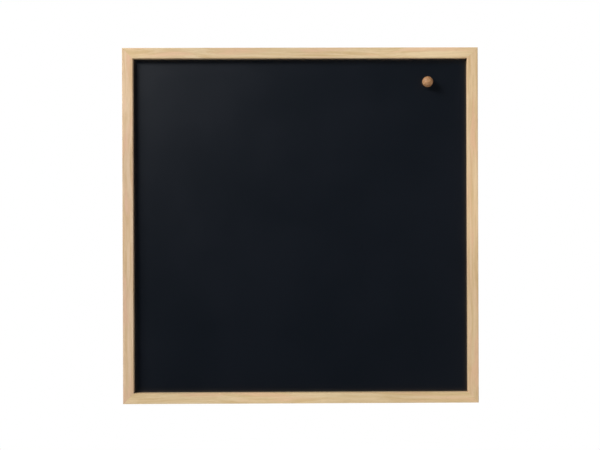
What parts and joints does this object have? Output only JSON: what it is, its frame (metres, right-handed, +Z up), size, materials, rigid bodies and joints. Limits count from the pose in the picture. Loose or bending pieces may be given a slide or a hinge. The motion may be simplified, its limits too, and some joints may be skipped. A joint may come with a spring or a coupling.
{
  "type": "chalkboard",
  "caption": "Square magnetic chalkboard in a narrow mitred light-oak frame, with a wooden ball knob magnet on its face and keyhole corner plates behind.",
  "frame": {"origin": "middle of the writing surface, on its face", "axes": "-Y out of the writing surface towards the reader, +X to the reader's right, +Z up the wall"},
  "size_m": [0.5, 0.0302, 0.5],
  "materials": {
    "oak": "clear matt oil on light oak",
    "beech": "satin varnish on a turned ball",
    "chalkboard_enamel": "matt fine-grained writing enamel on steel sheet",
    "fibreboard": "raw fibreboard",
    "galvanised_steel": "dull galvanised sheet",
    "spring_steel": "bare hardened strip",
    "zinc_plate": "bright zinc plating",
    "nickel": "nickel plating",
    "rubber": "matt moulded rubber"
  },
  "bodies": {
    "board": {"rail_top": "oak", "rail_right": "oak", "rail_bottom": "oak", "rail_left": "oak", "writing_sheet": "chalkboard_enamel", "core_board": "fibreboard", "backing_sheet": "galvanised_steel", "retaining_point_top_1": "spring_steel", "retaining_point_top_2": "spring_steel", "retaining_point_top_3": "spring_steel", "retaining_point_right_1": "spring_steel", "retaining_point_right_2": "spring_steel", "retaining_point_right_3": "spring_steel", "retaining_point_bottom_1": "spring_steel", "retaining_point_bottom_2": "spring_steel", "retaining_point_bottom_3": "spring_steel", "retaining_point_left_1": "spring_steel", "retaining_point_left_2": "spring_steel", "retaining_point_left_3": "spring_steel", "v_nail_top_right": "spring_steel", "corner_plate_top_right": "zinc_plate", "wall_bumper_top_right": "rubber", "v_nail_bottom_right": "spring_steel", "corner_plate_bottom_right": "zinc_plate", "wall_bumper_bottom_right": "rubber", "v_nail_bottom_left": "spring_steel", "corner_plate_bottom_left": "zinc_plate", "wall_bumper_bottom_left": "rubber", "v_nail_top_left": "spring_steel", "corner_plate_top_left": "zinc_plate", "wall_bumper_top_left": "rubber", "plate_screw_top_right_1": "zinc_plate", "plate_screw_top_right_2": "zinc_plate", "plate_screw_bottom_right_1": "zinc_plate", "plate_screw_bottom_right_2": "zinc_plate", "plate_screw_bottom_left_1": "zinc_plate", "plate_screw_bottom_left_2": "zinc_plate", "plate_screw_top_left_1": "zinc_plate", "plate_screw_top_left_2": "zinc_plate"},
    "magnet": {"knob_ball": "beech", "knob_magnet_disc": "nickel"}
  },
  "joints": [
    {"name": "magnet_pull_off", "type": "slide", "parent": "board", "child": "magnet", "axis": [0, -1, 0], "range_m": [0, 0.04]}
  ]
}
